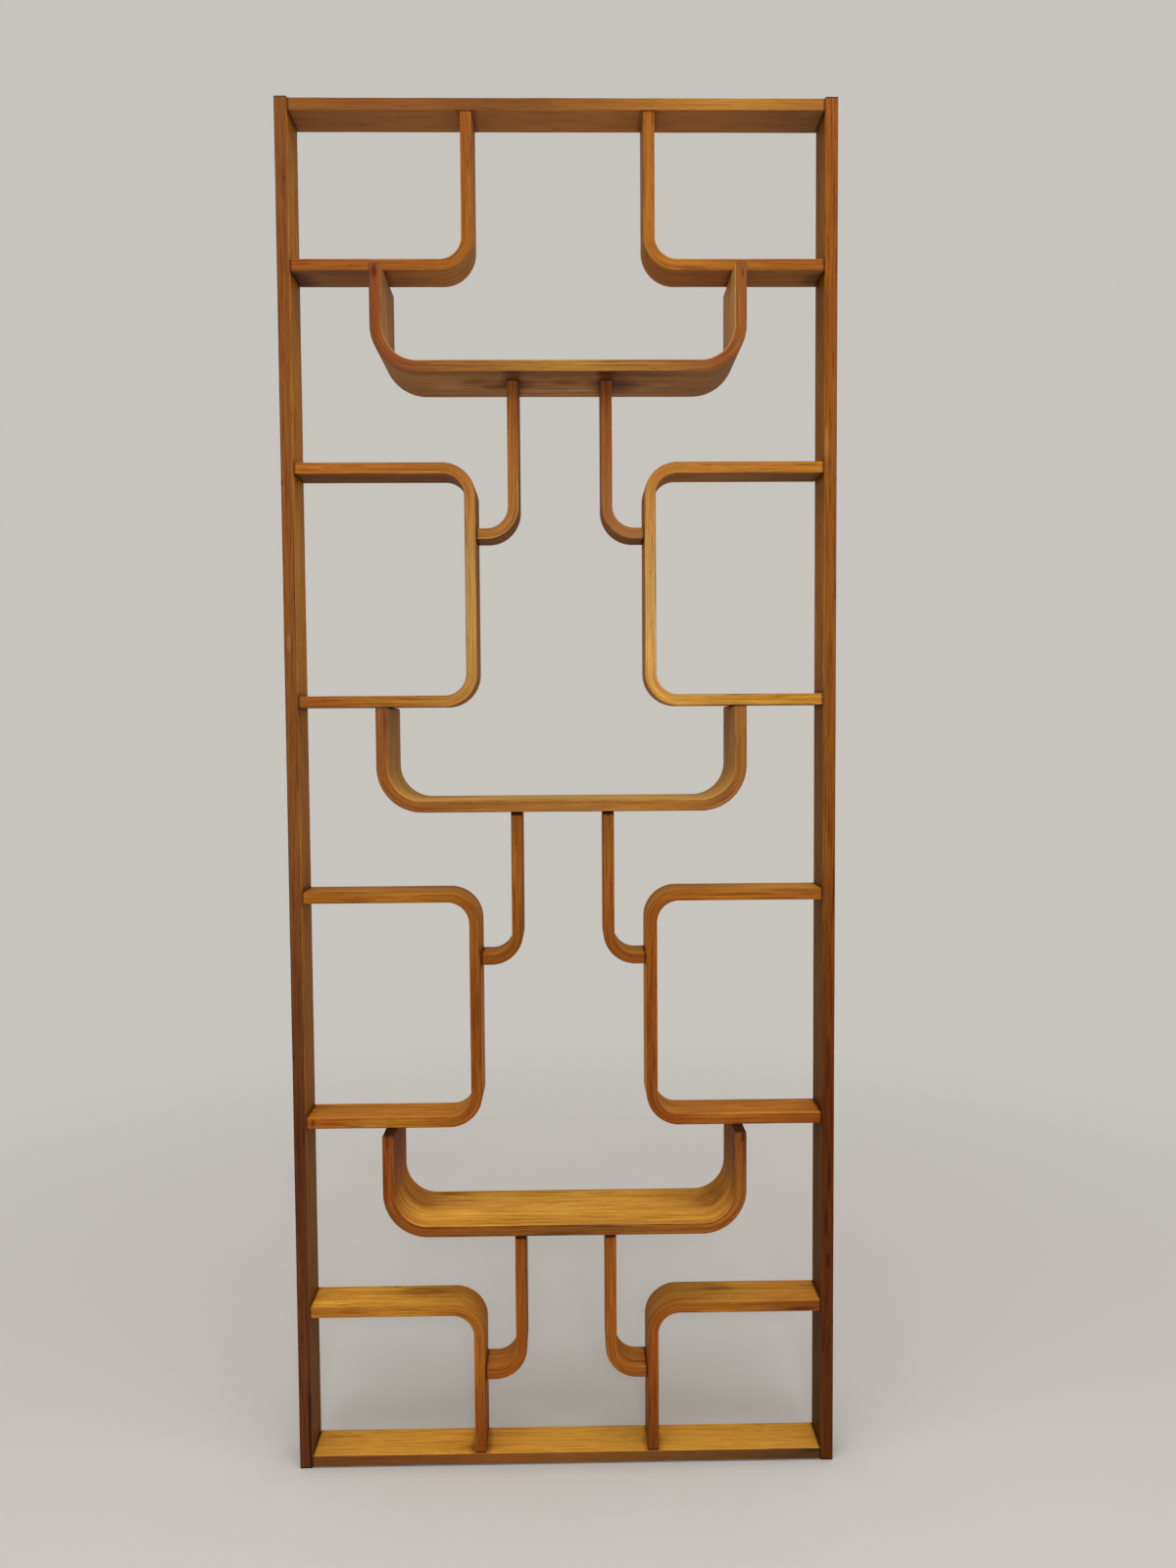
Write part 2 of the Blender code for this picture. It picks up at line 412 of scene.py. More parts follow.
def inner_side_of(corners):
    """Tells on which side of a path its inner side lies.

    That is the inside of the bends, or for a straight path the side towards
    the divider's middle.
    """
    start, following = Vector(corners[0]), Vector(corners[1])
    if len(corners) > 2:
        inside = Vector(corners[2])
    else:
        low, high = cad_box
        inside = Vector((low[0] + high[0], low[2] + high[2])) / 2
    ahead = following - start
    return math.copysign(1.0, Vector((ahead.y, -ahead.x)).dot(inside - start))


def nearest_on(path, spot):
    """Finds the place on a path nearest to a spot: how far from the spot, and how far along the path."""
    found = []
    for (start, _, _, along), (stop, *_) in zip(path, path[1:]):
        run = stop - start
        part = min(max((spot - start).dot(run) / run.length_squared, 0.0), 1.0)
        found.append(((start + run * part - spot).length, along + part * run.length))
    return min(found)


def contact_places(path, half_thickness, ends):
    """Tells how far along a path other strips end against it."""
    length = path[-1][3]
    found = [nearest_on(path, end) for end in ends]
    touching = [along for distance, along in found if distance < half_thickness + contact_reach]
    return [along for along in touching if half_thickness < along < length - half_thickness]


def lay_rings(strip, rings, looks):
    """Places one cross-section at every ring and joins neighbours with faces."""
    length = rings[-1][3]
    for place, ahead, square, along, inset, lean in rings:
        sides = [between(look, along / length) for look in looks]
        for thick, deep, outward in cross_section(strip, along, inset):
            spot = place + square * thick
            strip.places.append((spot.x, deep, spot.y))
            flat = square * outward[0] * math.cos(lean) + ahead * math.sin(lean)
            strip.normals.append((flat.x, outward[1] * math.cos(lean), flat.y))
            strip.triples["grain"] += (along, thick * strip.inner_side, deep)
            strip.triples["fibre"] += (ahead.x, 0.0, ahead.y)
            strip.triples["tones"] += (side[0] for side in sides)
            strip.triples["golds"] += (side[1] for side in sides)
            strip.values["endness"].append(abs(math.sin(lean)))
            strip.values["to_end"].append(min(along, length - along))
    count = 4 * (arris_steps + 1)
    for ring in range(len(rings) - 1):
        low, high = ring * count, (ring + 1) * count
        for step in range(count):
            following = (step + 1) % count
            strip.faces.append((low + step, low + following, high + following, high + step))
    strip.faces.append(tuple(reversed(range(count))))
    start = (len(rings) - 1) * count
    strip.faces.append(tuple(start + step for step in range(count)))


def add_piece(node, strip, material):
    """Makes a mesh of a strip and lets it stand for its CAD node."""
    name = node + "_strip"
    mesh = bpy.data.meshes.new(name)
    mesh.from_pydata(strip.places, [], strip.faces)
    mesh.update()
    for label, triples in strip.triples.items():
        mesh.attributes.new(label, "FLOAT_VECTOR", "POINT").data.foreach_set("vector", triples)
    for label, values in strip.values.items():
        mesh.attributes.new(label, "FLOAT", "POINT").data.foreach_set("value", values)
    mesh.shade_smooth()
    mesh.normals_split_custom_set_from_vertices(strip.normals)
    mesh.materials.append(material)
    piece = bpy.data.objects.new(name, mesh)
    bpy.context.scene.collection.objects.link(piece)
    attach(piece, "root")
    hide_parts(node)


class Nodes:
    """Short ways to add shader nodes to a material."""

    def __init__(self, material):
        material.use_nodes = True
        self.tree = material.node_tree
        self.shader = self.tree.nodes["Principled BSDF"]

    def add(self, kind):
        """Adds a node of one kind."""
        return self.tree.nodes.new("ShaderNode" + kind)

    def feed(self, value, socket):
        """Gives a socket a fixed value or the output of another node."""
        if isinstance(value, bpy.types.NodeSocket):
            self.tree.links.new(value, socket)
        else:
            socket.default_value = value

    def set_shader(self, settings):
        """Sets the shader's values that are the same all over."""
        for name, value in settings.items():
            self.shader.inputs[name].default_value = value

    def reading(self, name, output):
        """Reads one of the mesh's stored values."""
        node = self.add("Attribute")
        node.attribute_name = name
        return node.outputs[output]

    def parts(self, vector):
        """Splits a vector into its three numbers."""
        node = self.add("SeparateXYZ")
        self.feed(vector, node.inputs[0])
        return node.outputs[0], node.outputs[1], node.outputs[2]

    def vector(self, *values):
        """Joins three numbers into a vector."""
        node = self.add("CombineXYZ")
        for value, socket in zip(values, node.inputs):
            self.feed(value, socket)
        return node.outputs[0]

    def scaled(self, place, scales):
        """Scales the three numbers of a place, each by its own scale."""
        return self.vector(*(self.times(part, scale) for part, scale in zip(place, scales)))

    def vector_maths(self, operation, values, output):
        """Works one sum out with vectors."""
        node = self.add("VectorMath")
        node.operation = operation
        for name, value in values.items():
            self.feed(value, node.inputs[name])
        return node.outputs[output]

    def maths(self, operation, *values):
        """Works one sum out."""
        node = self.add("Math")
        node.operation = operation
        for value, socket in zip(values, node.inputs):
            self.feed(value, socket)
        return node.outputs[0]

    def plus(self, first, second):
        """Adds two values."""
        return self.maths("ADD", first, second)

    def minus(self, first, second):
        """Takes the second value from the first."""
        return self.maths("SUBTRACT", first, second)

    def times(self, first, second):
        """Multiplies two values."""
        return self.maths("MULTIPLY", first, second)

    def times_plus(self, first, second, added):
        """Multiplies two values and adds a third."""
        return self.maths("MULTIPLY_ADD", first, second, added)

    def without(self, value, share):
        """Takes a share of a value away from it."""
        return self.times(value, self.minus(1.0, share))

    def swing(self, value, amount):
        """Centres a value between 0 and 1 on zero and scales it."""
        return self.times(self.minus(value, 0.5), amount)

    def fade(self, value, limits, results=(0.0, 1.0)):
        """Goes smoothly from one result to another while a value rises between two limits."""
        node = self.add("MapRange")
        node.interpolation_type = "SMOOTHSTEP"
        names = ("Value", "From Min", "From Max", "To Min", "To Max")
        for name, given in zip(names, (value, *limits, *results)):
            self.feed(given, node.inputs[name])
        return node.outputs["Result"]

    def fade_out(self, value, limits):
        """Falls smoothly from 1 to 0 while a value rises between two limits."""
        return self.fade(value, limits, (1.0, 0.0))

    def noise(self, place, detail=2.0, roughness=0.5):
        """Smooth noise between 0 and 1, about one lump for each unit of place."""
        node = self.add("TexNoise")
        self.feed(place, node.inputs["Vector"])
        node.inputs["Scale"].default_value = 1.0
        node.inputs["Detail"].default_value = detail
        node.inputs["Roughness"].default_value = roughness
        return node.outputs["Fac"]

    def dice(self, first, second):
        """A steady random number for each pair of numbers."""
        node = self.add("TexWhiteNoise")
        node.noise_dimensions = "3D"
        self.feed(self.vector(first, second, 0.5), node.inputs["Vector"])
        return node.outputs["Value"]

    def mix(self, amount, first, second, kind="MIX"):
        """Mixes two colours."""
        node = self.add("Mix")
        node.data_type = "RGBA"
        node.blend_type = kind
        node.clamp_factor = False
        colours = [socket for socket in node.inputs if socket.type == "RGBA"]
        self.feed(amount, node.inputs["Factor"])
        self.feed(first, colours[0])
        self.feed(second, colours[1])
        return next(socket for socket in node.outputs if socket.type == "RGBA")

    def relief(self, height, strength, distance, target):
        """Feeds the normal of an uneven surface to one of the shader's sockets."""
        node = self.add("Bump")
        node.inputs["Strength"].default_value = strength
        node.inputs["Distance"].default_value = distance
        self.feed(height, node.inputs["Height"])
        self.feed(node.outputs[0], self.shader.inputs[target])


def make_floor_material():
    """Makes a matt pale floor that turns into the background far away from the divider."""
    material = bpy.data.materials.new("plain_floor")
    nodes = Nodes(material)
    nodes.set_shader({"Base Color": full(floor_colour), **floor_finish})
    glow = nodes.add("Emission")
    glow.inputs["Color"].default_value = full(background_colour)
    place = nodes.add("TexCoord").outputs["Object"]
    distance = nodes.vector_maths("LENGTH", {0: place}, "Value")
    both = nodes.add("MixShader")
    nodes.feed(nodes.fade(distance, floor_ends), both.inputs[0])
    nodes.feed(nodes.shader.outputs[0], both.inputs[1])
    nodes.feed(glow.outputs[0], both.inputs[2])
    nodes.feed(both.outputs[0], nodes.tree.nodes["Material Output"].inputs["Surface"])
    return material


def make_surroundings():
    """Adds the plain floor, the even surrounding light and the lamps."""
    mesh = bpy.data.meshes.new("floor")
    turns = [2 * math.pi * side / floor_sides for side in range(floor_sides)]
    ring = [(floor_radius * math.cos(turn), floor_radius * math.sin(turn), 0.0) for turn in turns]
    mesh.from_pydata(ring, [], [list(range(floor_sides))])
    floor = bpy.data.objects.new("floor", mesh)
    bpy.context.scene.collection.objects.link(floor)
    mesh.materials.append(make_floor_material())

    world = bpy.data.worlds.new("surroundings")
    world.use_nodes = True
    world.node_tree.nodes["Background"].inputs["Color"].default_value = full(background_colour)
    bpy.context.scene.world = world

    for name, lamp in lamps.items():
        make_lamp(name, *lamp)


def layer_noise(nodes, along, layer, seed, scales):
    """Smooth noise along a strip that differs from layer to layer."""
    place = nodes.vector(nodes.times(along, scales[0]), nodes.times(layer, scales[1]), seed)
    return nodes.noise(place)


def veneers(nodes, along, thick, deep, seed, layer_thickness):
    """Numbers the layers of a strip and draws the glue lines between them."""
    ripple_along, ripple_deep = glue_ripple_scales
    place = nodes.vector(nodes.times(along, ripple_along), seed, nodes.times(deep, ripple_deep))
    slipped = nodes.plus(thick, nodes.swing(nodes.noise(place), glue_ripple))
    level = nodes.times_plus(slipped, 1 / layer_thickness, 0.5)
    layer = nodes.maths("FLOOR", level)
    within = nodes.maths("FRACT", level)
    nearest = nodes.maths("MINIMUM", within, nodes.minus(1.0, within))
    broken = layer_noise(nodes, along, layer, seed, glue_break_scales)
    glue = nodes.times(nodes.fade_out(nearest, glue_reach), nodes.fade(broken, glue_shown))
    return layer, glue


def late_wood(nodes, along, thick, deep, layer, seed):
    """Draws the dark part of the growth rings that the strip cuts through."""
    stray_thick, stray_deep = (
        nodes.swing(nodes.dice(layer, seed + shift), stray) for shift, stray in zip(pith_seeds, pith_stray)
    )
    drift = nodes.swing(layer_noise(nodes, along, layer, seed, drift_scales), pith_drift)
    outward = nodes.minus(thick, nodes.plus(stray_thick, pith_offset))
    sideways = nodes.minus(deep, nodes.plus(stray_deep, drift))
    squares = nodes.plus(nodes.times(sideways, sideways), nodes.times(outward, outward))
    wobble = nodes.swing(nodes.noise(nodes.scaled((along, thick, deep), wobble_scales)), ring_wobble)
    radius = nodes.plus(nodes.maths("SQRT", squares), wobble)
    ring = nodes.maths("FRACT", nodes.maths("DIVIDE", radius, ring_spacing))
    return nodes.times(nodes.fade(ring, late_wood_starts), nodes.fade_out(ring, late_wood_ends))


def grain_figure(nodes, seed, layer_thickness):
    """Works out the figure of the wood from the grain places of a strip.

    Gives the place along, across and through the strip, and each figure
    between 0 and 1: the stretched noise, the glue lines, the shade of each
    veneer and the late wood.
    """
    place_along, thick, deep = nodes.parts(nodes.reading("grain", "Vector"))
    along = nodes.plus(place_along, seed * cut_spacing)
    layer, glue = veneers(nodes, along, thick, deep, seed, layer_thickness)
    figure = {
        "along": place_along,
        "thick": thick,
        "deep": deep,
        "glue": glue,
        "shade": nodes.dice(layer, seed),
        "late": late_wood(nodes, along, thick, deep, layer, seed),
    }
    for name, (length_scale, width_scale, detail, roughness, shift) in stretched_noise.items():
        place = nodes.vector(
            nodes.times(along, length_scale),
            nodes.times_plus(thick, width_scale, nodes.times(layer, shift)),
            nodes.times(deep, width_scale),
        )
        figure[name] = nodes.noise(place, detail, roughness)
    figure["dash"] = nodes.fade(figure["dash"], dash_shown)
    limit = nodes.fade(figure["open_grain"], open_grain_range, pore_limits)
    figure["pore"] = nodes.fade(nodes.minus(figure["pore"], limit), pore_shown)
    return figure


def side_shares(nodes, figure, half_thickness, half_depth):
    """Tells how much a point belongs to the edges, the inner or outer side, the front and the arrises."""
    to_broad = nodes.minus(half_thickness, nodes.maths("ABSOLUTE", figure["thick"]))
    to_narrow = nodes.minus(half_depth, nodes.maths("ABSOLUTE", figure["deep"]))
    broad = nodes.fade_out(to_broad, edge_turn)
    inwards = nodes.fade(figure["thick"], middle_turn)
    arris = nodes.fade_out(nodes.maths("MAXIMUM", to_broad, to_narrow), arris_reach)
    inner_arris = nodes.times(arris, inwards)
    return {
        "edge": nodes.minus(1.0, broad),
        "inner": nodes.times(broad, inwards),
        "outer": nodes.times(broad, nodes.minus(1.0, inwards)),
        "front": nodes.fade_out(figure["deep"], middle_turn),
        "inner_arris": inner_arris,
        "outer_arris": nodes.minus(arris, inner_arris),
    }


def of_side(nodes, values, shares):
    """Picks out of three values the one for the edge, the inner side or the outer side of a strip."""
    edge, inner, outer = values
    value = nodes.times(edge, shares["edge"])
    value = nodes.times_plus(inner, shares["inner"], value)
    return nodes.times_plus(outer, shares["outer"], value)


def evened(nodes, value, usual, shares):
    """Draws a value towards its usual one on the back edge, which light and dirt reach less."""
    back = nodes.times(shares["edge"], nodes.minus(1.0, shares["front"]))
    short = nodes.minus(usual, value)
    return nodes.times_plus(short, nodes.times(back, back_evenness), value)


def wood_colour(nodes, figure, shares, liveliness, dirt_and_shade):
    """Mixes light and dark grain, from red to golden, before any marks."""
    grain = nodes.plus(grain_lightness, nodes.swing(figure["streak"], streak_contrast * liveliness))
    grain = nodes.plus(grain, nodes.swing(figure["band"], band_contrast * liveliness))
    grain = nodes.plus(grain, nodes.swing(figure["fibre"], fibre_contrast))
    grain = nodes.minus(grain, nodes.times(figure["late"], late_wood_darkening))
    grain = nodes.minus(grain, nodes.times(figure["dash"], dash_darkening * liveliness))
    gold = of_side(nodes, nodes.parts(nodes.reading("golds", "Vector")), shares)
    gold = evened(nodes, gold, usual_gold, shares)
    gold = nodes.plus(gold, nodes.swing(figure["blotch"], blotch_gold * liveliness))
    gold = nodes.plus(gold, nodes.swing(figure["streak"], streak_gold * liveliness))
    # Dirt and painted shade round other strips' ends also redden the wood
    gold = nodes.minus(gold, nodes.times(dirt_and_shade, dirt_and_shade_redness))
    light = nodes.mix(gold, full(red_wood), full(golden_wood))
    dark = nodes.mix(1.0, light, full(dark_grain), "MULTIPLY")
    return nodes.mix(nodes.fade(grain, (0.0, 1.0)), dark, light)


def dirt_and_shade_round_contacts(nodes, figure, shares, butted, contacts):
    """Tells how much darker one broad side is round the ends of other strips, with dirt and painted shade.
    """
    if not contacts:
        return 0.0
    away = [nodes.maths("ABSOLUTE", nodes.minus(figure["along"], place)) for place in contacts]
    nearest = away[0]
    for other in away[1:]:
        nearest = nodes.maths("MINIMUM", other, nearest)
    ragged = nodes.plus(nearest, nodes.swing(figure["cloud"], dirt_and_shade_raggedness))
    return nodes.times(nodes.fade(ragged, dirt_and_shade_reach, (dirt_and_shade_darkening, 0.0)), shares[butted])


def with_stains_and_painted_light(nodes, value, figure, shares, own_marks):
    """Darkens or lightens a value at local marks: stains and rubbed spots, painted shade and shadow, and
    painted sheen and highlights.
    """
    for side, along, across, half_length, half_width, darkening in own_marks:
        if side == "edge":
            offset, share = figure["thick"], nodes.times(shares["edge"], shares["front"])
        else:
            offset, share = figure["deep"], shares[side]
        length_share = nodes.times(figure["along"], 1 / half_length)
        place = nodes.vector(length_share, nodes.times(offset, 1 / half_width), 0.0)
        middle = (along / half_length, across / half_width, 0.0)
        away = nodes.vector_maths("DISTANCE", {0: place, 1: middle}, "Value")
        ragged = nodes.plus(away, nodes.swing(figure["cloud"], mark_raggedness))
        stain_and_painted_light = nodes.times(nodes.fade(ragged, mark_fade, (darkening, 0.0)), share)
        value = nodes.without(value, stain_and_painted_light)
    return value


def brightness(nodes, figure, shares, dirt_and_shade, worn):
    """Works out how bright the wood is, from the mesh's tones and what darkens or lightens it."""
    value = of_side(nodes, nodes.parts(nodes.reading("tones", "Vector")), shares)
    value = evened(nodes, value, usual_tone, shares)
    veneer = nodes.times(shares["edge"], nodes.swing(figure["shade"], veneer_contrast))
    value = nodes.times(value, nodes.plus(1.0, veneer))
    glue = nodes.times(nodes.times(figure["glue"], shares["edge"]), glue_darkening)
    value = nodes.without(value, glue)
    value = nodes.without(value, nodes.times(figure["pore"], pore_darkening))
    to_end = nodes.reading("to_end", "Fac")
    value = nodes.without(value, nodes.times(nodes.fade_out(to_end, grime_reach), grime_darkening))
    endness = nodes.reading("endness", "Fac")
    value = nodes.times(value, nodes.fade(endness, end_grain_shown, (1.0, end_grain_tone)))
    # Dirt and painted shade round the ends of the strips that meet this one
    value = nodes.without(value, dirt_and_shade)
    # Inner arrises paler from wear and a painted highlight, outer arrises darker from dirt and painted shade
    value = nodes.times(value, nodes.times_plus(worn, inner_arris_wear_and_highlight, 1.0))
    return nodes.times(value, nodes.times_plus(shares["outer_arris"], outer_arris_dirt_and_shade, 1.0))


def marked(nodes, colour, value, stain_and_painted_light, dust_and_sheen_levels, shares):
    """Shades a colour, reddens what marks and painted shade darken, and lays the pale dust and painted sheen
    over it.
    """
    green, blue = (nodes.maths("POWER", stain_and_painted_light, power) for power in (green_power, blue_power))
    reddened = nodes.mix(1.0, colour, nodes.vector(stain_and_painted_light, green, blue), "MULTIPLY")
    shaded = nodes.vector_maths("SCALE", {0: reddened, "Scale": value}, "Vector")
    # Pale dust and painted sheen, with more of it where marks make the wood paler
    dust_and_sheen = nodes.times(of_side(nodes, dust_and_sheen_levels, shares), stain_and_painted_light)
    paler = nodes.maths("MAXIMUM", nodes.minus(stain_and_painted_light, 1.0), 0.0)
    return nodes.mix(nodes.times_plus(paler, pale_dust_and_sheen, dust_and_sheen), shaded, full(dust_and_sheen_colour))


def lay_varnish(nodes, figure, worn):
    """Gives the wood its thin old varnish, which mirrors little at a slant."""
    end_grain = nodes.fade(nodes.reading("endness", "Fac"), end_grain_shown)
    roughness = nodes.plus(varnish_roughness, nodes.swing(figure["blotch"], blotch_roughness))
    roughness = nodes.plus(roughness, nodes.times(figure["pore"], pore_roughness))
    roughness = nodes.plus(roughness, nodes.times(end_grain, end_grain_roughness))
    roughness = nodes.plus(roughness, nodes.times(worn, worn_roughness))
    nodes.feed(roughness, nodes.shader.inputs["Roughness"])
    slant = nodes.add("LayerWeight").outputs["Facing"]
    nodes.feed(nodes.fade(slant, base_slants, base_levels), nodes.shader.inputs["Specular IOR Level"])
    nodes.feed(nodes.fade(slant, coat_slants, coat_weights), nodes.shader.inputs["Coat Weight"])
    nodes.feed(nodes.reading("fibre", "Vector"), nodes.shader.inputs["Tangent"])
    nodes.set_shader(varnish)
    brushed = nodes.scaled((figure["along"], figure["thick"], figure["deep"]), brush_scales)
    nodes.relief(nodes.noise(brushed, *rough_noise), 1.0, brush_height, "Coat Normal")


def raise_grain(nodes, figure):
    """Sinks the pores and raises fibres and late wood."""
    height = nodes.times(figure["pore"], pore_height)
    height = nodes.plus(height, nodes.swing(figure["fibre"], fibre_height))
    height = nodes.plus(height, nodes.times(figure["late"], late_wood_height))
    nodes.relief(height, relief_strength, 1.0, "Normal")


def make_wood(node, strip, kind, dust_and_sheen_levels, contacts):
    """Makes the varnished wood of one piece, with its own pale dust and painted sheen, and its marks."""
    material = bpy.data.materials.new(node + "_wood")
    nodes = Nodes(material)
    seed = float(strip.seed)
    figure = grain_figure(nodes, seed, kind.layer_thickness)
    shares = side_shares(nodes, figure, strip.half_thickness, strip.half_depth)
    # Dirt and painted shade round the ends of the strips that meet this one
    dirt_and_shade = dirt_and_shade_round_contacts(nodes, figure, shares, kind.butted, contacts)
    colour = wood_colour(nodes, figure, shares, kind.liveliness, dirt_and_shade)

    # Where the inner arrises are paler: wear, and a painted highlight
    scuff_and_highlight_noise = nodes.noise(nodes.vector(nodes.times(figure["along"], scuff_and_highlight_scale), seed, 0.0), *rough_noise)
    worn = nodes.times(shares["inner_arris"], nodes.fade(scuff_and_highlight_noise, scuff_and_highlight_shown))
    contrast = cloud_contrast + lively_cloud_contrast * kind.liveliness
    cloudy = nodes.plus(1.0, nodes.swing(figure["cloud"], contrast))
    stain_and_painted_light = with_stains_and_painted_light(nodes, cloudy, figure, shares, marks.get(node, ()))
    value = brightness(nodes, figure, shares, dirt_and_shade, worn)
    nodes.feed(marked(nodes, colour, value, stain_and_painted_light, dust_and_sheen_levels, shares), nodes.shader.inputs["Base Color"])
    lay_varnish(nodes, figure, worn)
    raise_grain(nodes, figure)
    return material


def make_dowel_wood():
    """Makes the bare, sanded wood of the dowels, with fine fibres."""
    material = bpy.data.materials.new("dowel_wood")
    nodes = Nodes(material)
    place = nodes.parts(nodes.add("TexCoord").outputs["Object"])
    fibre = nodes.noise(nodes.scaled(place, dowel_scales), *rough_noise)
    dark, light = (full(colour) for colour in dowel_colours)
    nodes.feed(nodes.mix(nodes.fade(fibre, dowel_light), dark, light), nodes.shader.inputs["Base Color"])
    roughness = nodes.plus(dowel_roughness, nodes.swing(fibre, dowel_roughness_contrast))
    nodes.feed(roughness, nodes.shader.inputs["Roughness"])
    nodes.relief(fibre, dowel_relief_strength, dowel_fibre_height, "Normal")
    return material


# How each kind of strip runs between the lowest and highest corner of its CAD node


def stile_corners(low, high):
    """Runs straight up."""
    middle = (low.x + high.x) / 2
    return [(middle, low.z), (middle, high.z)]


def rail_corners(low, high):
    """Runs straight across."""
    middle = (low.z + high.z) / 2
    return [(low.x, middle), (high.x, middle)]


def ends_across(low, high):
    """Gives the middle line's column nearest the divider's middle, and the far end, for one side."""
    half = strip_thickness / 2
    if low.x + high.x > 0:
        return low.x + half, high.x
    return high.x - half, low.x


def top_bracket_corners(low, high):
    """Runs down from the top rail and out to the stile."""
    column, outer_end = ends_across(low, high)
    shelf = low.z + strip_thickness / 2
    return [(column, high.z), (column, shelf), (outer_end, shelf)]


def loop_corners(low, high):
    """Runs in from the stile, down and back out."""
    column, outer_end = ends_across(low, high)
    top, shelf = high.z - strip_thickness / 2, low.z + strip_thickness / 2
    return [(outer_end, top), (column, top), (column, shelf), (outer_end, shelf)]


def bottom_bracket_corners(low, high):
    """Runs in from the stile and down to the bottom rail."""
    column, outer_end = ends_across(low, high)
    top = high.z - strip_thickness / 2
    return [(outer_end, top), (column, top), (column, low.z)]


def tray_corners(low, high):
    """Runs down one arm, along the floor and up the other arm."""
    half = strip_thickness / 2
    left, right, floor = low.x + half, high.x - half, low.z + half
    return [(left, high.z), (left, floor), (right, floor), (right, high.z)]


# A kind of strip: the corners it runs through, the liveliness of its grain and its slot, then its bend
# radius, thickness, end easing and layer thickness, and the side that other strips end against
Kind = namedtuple(
    "Kind",
    "corners liveliness slot bend_radius thickness easing layer_thickness butted",
    defaults=(frame_bend_radius, strip_thickness, joint_easing, veneer_thickness, "outer"),
)
kinds = {
    "stile": Kind(stile_corners, 0.85, "frame_wood", 0.0, stile_thickness, stile_easing, one_layer, "inner"),
    "rail": Kind(rail_corners, 0.35, "frame_wood", 0.0, layer_thickness=one_layer, butted="inner"),
    "top_bracket": Kind(top_bracket_corners, 0.75, "loop_wood"),
    "loop": Kind(loop_corners, 0.9, "loop_wood"),
    "bottom_bracket": Kind(bottom_bracket_corners, 0.75, "loop_wood"),
    "tray": Kind(tray_corners, 0.9, "tray_wood", bend_radius=tray_bend_radius, easing=arm_easing),
    "hook": Kind(top_bracket_corners, 0.8, "hook_wood", bend_radius=hook_bend_radius),
}
